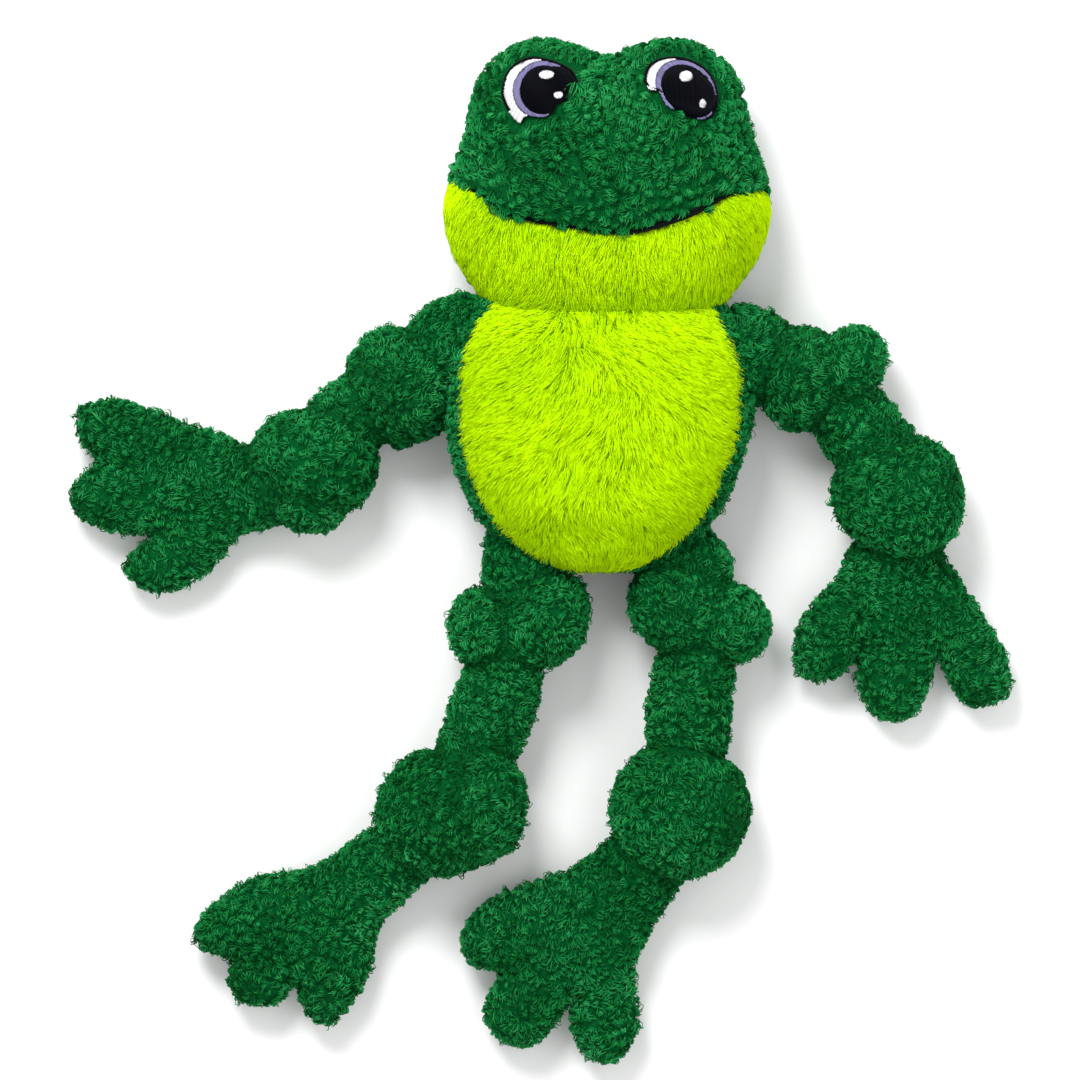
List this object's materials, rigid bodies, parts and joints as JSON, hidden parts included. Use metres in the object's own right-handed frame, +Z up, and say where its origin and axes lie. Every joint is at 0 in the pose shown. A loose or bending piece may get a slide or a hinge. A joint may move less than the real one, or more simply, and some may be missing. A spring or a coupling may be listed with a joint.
{
  "type": "plush frog dog toy",
  "caption": "Floppy plush frog dog toy with rope-knotted limbs and a squeaker, lying on its back; neck, shoulders, elbows, wrists, hips, knees and ankles bend.",
  "frame": {"origin": "under the middle of the whole toy, on the surface that it lies on", "axes": "+Z up out of the belly, +Y towards the top of the head, +X to the right as the toy is seen from the front; the toy lies on its back"},
  "size_m": [0.4264, 0.4612, 0.0933],
  "materials": {
    "green_sherpa": "dark green curly sherpa plush, matt",
    "lime_plush": "lime straight-pile plush, matt",
    "mouth_cloth": "black felt, matt",
    "eye_embroidery": "satin stitch in navy, lavender, white and black thread",
    "fibre_fill": "white polyester fibre",
    "rope": "natural cotton rope",
    "squeaker_plastic": "soft moulded plastic"
  },
  "bodies": {
    "torso": {"torso_back_panel": "green_sherpa", "belly_panel": "lime_plush", "torso_stuffing": "fibre_fill", "squeaker_bellows": "squeaker_plastic", "squeaker_reed": "squeaker_plastic", "arm_rope_chest_span": "rope", "leg_rope_hip_span": "rope", "left_arm_root": "green_sherpa", "right_arm_root": "green_sherpa", "left_leg_root": "green_sherpa", "right_leg_root": "green_sherpa"},
    "head": {"face_panel": "green_sherpa", "head_back_panel": "green_sherpa", "chin_panel": "lime_plush", "mouth_lining": "mouth_cloth", "left_eye_patch": "eye_embroidery", "right_eye_patch": "eye_embroidery", "head_stuffing": "fibre_fill"},
    "left_upper_arm": {"left_upper_arm_sleeve": "green_sherpa", "left_upper_arm_knot": "rope"},
    "left_forearm": {"left_forearm_sleeve": "green_sherpa", "left_forearm_knot": "rope"},
    "left_hand": {"left_hand_top": "green_sherpa", "left_hand_palm": "green_sherpa", "left_hand_stuffing": "fibre_fill"},
    "right_upper_arm": {"right_upper_arm_sleeve": "green_sherpa", "right_upper_arm_knot": "rope"},
    "right_forearm": {"right_forearm_sleeve": "green_sherpa", "right_forearm_knot": "rope"},
    "right_hand": {"right_hand_top": "green_sherpa", "right_hand_palm": "green_sherpa", "right_hand_stuffing": "fibre_fill"},
    "left_thigh": {"left_thigh_sleeve": "green_sherpa", "left_thigh_knot": "rope"},
    "left_shin": {"left_shin_sleeve": "green_sherpa", "left_shin_knot": "rope"},
    "left_foot": {"left_foot_top": "green_sherpa", "left_foot_sole": "green_sherpa", "left_foot_stuffing": "fibre_fill"},
    "right_thigh": {"right_thigh_sleeve": "green_sherpa", "right_thigh_knot": "rope"},
    "right_shin": {"right_shin_sleeve": "green_sherpa", "right_shin_knot": "rope"},
    "right_foot": {"right_foot_top": "green_sherpa", "right_foot_sole": "green_sherpa", "right_foot_stuffing": "fibre_fill"}
  },
  "joints": [
    {"name": "neck_nod", "type": "hinge", "parent": "torso", "child": "head", "pos_m": [0.03328, 0.11157, 0.036], "axis": [1, 0, 0], "range_deg": [0, 30]},
    {"name": "left_shoulder", "type": "hinge", "parent": "torso", "child": "left_upper_arm", "pos_m": [-0.03822, 0.09057, 0.028], "axis": [0, 0, 1], "range_deg": [-60, 0]},
    {"name": "left_elbow", "type": "hinge", "parent": "left_upper_arm", "child": "left_forearm", "pos_m": [-0.08605, 0.05886, 0.025], "axis": [0, 0, 1], "range_deg": [-45, 35]},
    {"name": "left_wrist", "type": "hinge", "parent": "left_forearm", "child": "left_hand", "pos_m": [-0.13084, 0.02697, 0.0155], "axis": [-0.1392, 0.9903, 0], "range_deg": [0, 40]},
    {"name": "right_shoulder", "type": "hinge", "parent": "torso", "child": "right_upper_arm", "pos_m": [0.09778, 0.08857, 0.028], "axis": [0, 0, 1], "range_deg": [0, 65]},
    {"name": "right_elbow", "type": "hinge", "parent": "right_upper_arm", "child": "right_forearm", "pos_m": [0.14899, 0.05345, 0.025], "axis": [0, 0, 1], "range_deg": [-10, 60]},
    {"name": "right_wrist", "type": "hinge", "parent": "right_forearm", "child": "right_hand", "pos_m": [0.16524, -0.00028, 0.0155], "axis": [-0.9976, 0.0698, 0], "range_deg": [0, 35]},
    {"name": "left_hip", "type": "hinge", "parent": "torso", "child": "left_thigh", "pos_m": [-0.00242, -0.00293, 0.028], "axis": [0, 0, 1], "range_deg": [-40, 10]},
    {"name": "left_knee", "type": "hinge", "parent": "left_thigh", "child": "left_shin", "pos_m": [-0.02006, -0.06956, 0.025], "axis": [0, 0, 1], "range_deg": [-45, 15]},
    {"name": "left_ankle", "type": "hinge", "parent": "left_shin", "child": "left_foot", "pos_m": [-0.06888, -0.14361, 0.0155], "axis": [-0.682, 0.7314, 0], "range_deg": [0, 40]},
    {"name": "right_hip", "type": "hinge", "parent": "torso", "child": "right_thigh", "pos_m": [0.06198, -0.00293, 0.028], "axis": [0, 0, 1], "range_deg": [-5, 30]},
    {"name": "right_knee", "type": "hinge", "parent": "right_thigh", "child": "right_shin", "pos_m": [0.06943, -0.06904, 0.025], "axis": [0, 0, 1], "range_deg": [-10, 60]},
    {"name": "right_ankle", "type": "hinge", "parent": "right_shin", "child": "right_foot", "pos_m": [0.04515, -0.14259, 0.0155], "axis": [-0.788, 0.6157, 0], "range_deg": [0, 40]}
  ]
}
